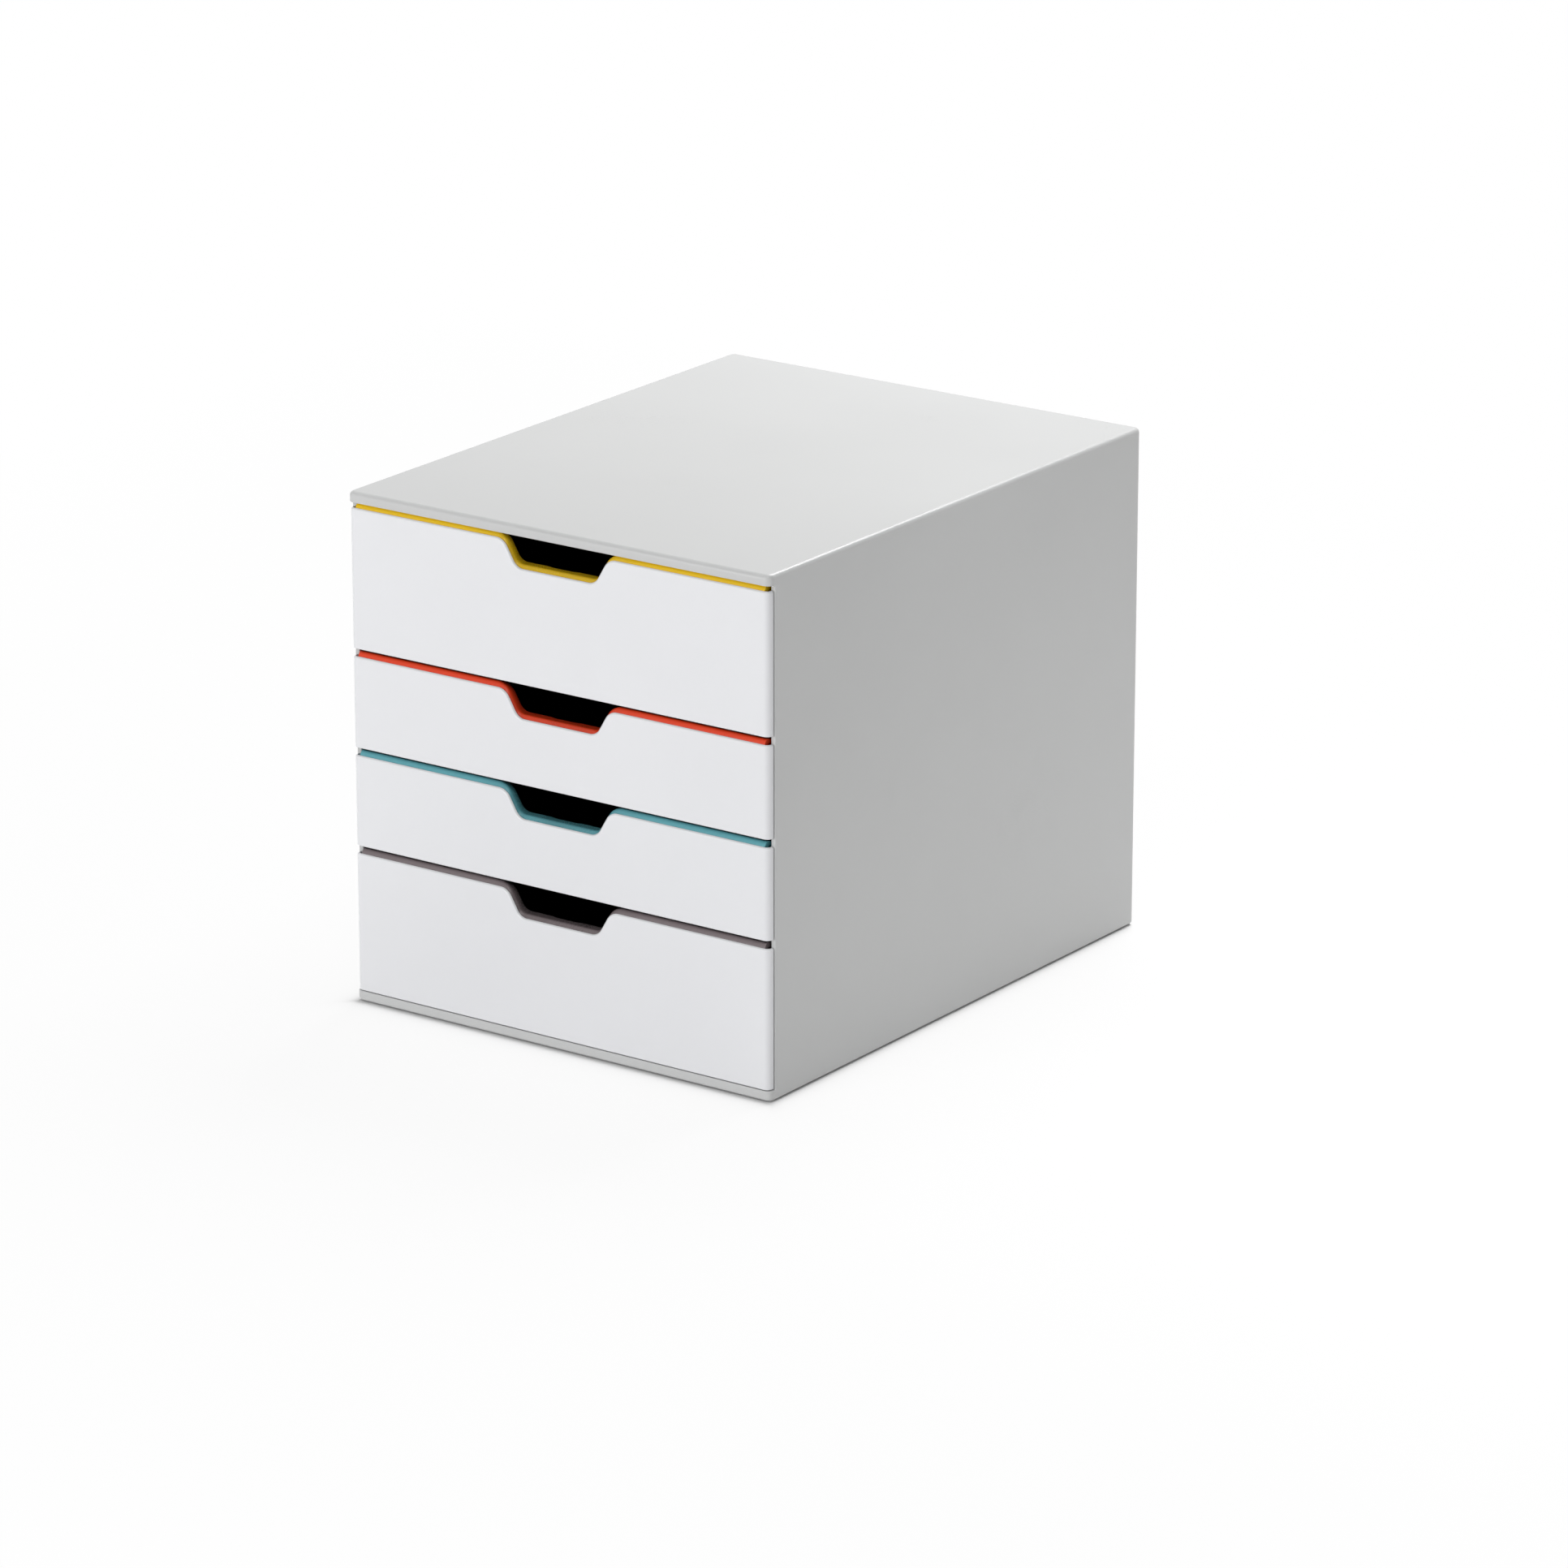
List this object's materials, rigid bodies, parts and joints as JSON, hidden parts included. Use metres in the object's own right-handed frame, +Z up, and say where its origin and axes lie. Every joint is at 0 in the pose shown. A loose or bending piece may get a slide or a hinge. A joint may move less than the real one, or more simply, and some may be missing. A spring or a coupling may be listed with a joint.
{
  "type": "desktop drawer box",
  "caption": "Free-standing desktop drawer box: a grey moulded housing with sliding trays behind white faces, each with a finger notch and a coloured edge trim.",
  "frame": {"origin": "on the surface it stands on, at the middle of the bounding box", "axes": "+Z up, +Y towards the back, so the drawer faces look along -Y; +X to the right of someone who faces the drawers"},
  "size_m": [0.28, 0.356, 0.292],
  "materials": {
    "housing": "fine-textured grey moulding",
    "runner": "plain grey moulding",
    "rear": "fine-textured grey moulding",
    "foot": "matt black",
    "tray": "satin anthracite moulding",
    "face": "satin white",
    "trim_yellow": "satin yellow",
    "trim_red": "satin red",
    "trim_teal": "satin teal",
    "trim_brown": "satin grey brown"
  },
  "bodies": {
    "housing": {"housing_shell": "housing", "left_runner_panel": "runner", "right_runner_panel": "runner", "rear_panel": "rear", "front_left_foot": "foot", "front_right_foot": "foot", "rear_left_foot": "foot", "rear_right_foot": "foot"},
    "top_drawer": {"top_drawer_tray": "tray", "top_drawer_face": "face", "top_drawer_trim": "trim_yellow"},
    "second_drawer": {"second_drawer_tray": "tray", "second_drawer_face": "face", "second_drawer_trim": "trim_red"},
    "third_drawer": {"third_drawer_tray": "tray", "third_drawer_face": "face", "third_drawer_trim": "trim_teal"},
    "bottom_drawer": {"bottom_drawer_tray": "tray", "bottom_drawer_face": "face", "bottom_drawer_trim": "trim_brown"}
  },
  "joints": [
    {"name": "top_drawer_slide", "type": "slide", "parent": "housing", "child": "top_drawer", "axis": [0, -1, 0], "range_m": [0, 0.27]},
    {"name": "second_drawer_slide", "type": "slide", "parent": "housing", "child": "second_drawer", "axis": [0, -1, 0], "range_m": [0, 0.27]},
    {"name": "third_drawer_slide", "type": "slide", "parent": "housing", "child": "third_drawer", "axis": [0, -1, 0], "range_m": [0, 0.27]},
    {"name": "bottom_drawer_slide", "type": "slide", "parent": "housing", "child": "bottom_drawer", "axis": [0, -1, 0], "range_m": [0, 0.27]}
  ]
}
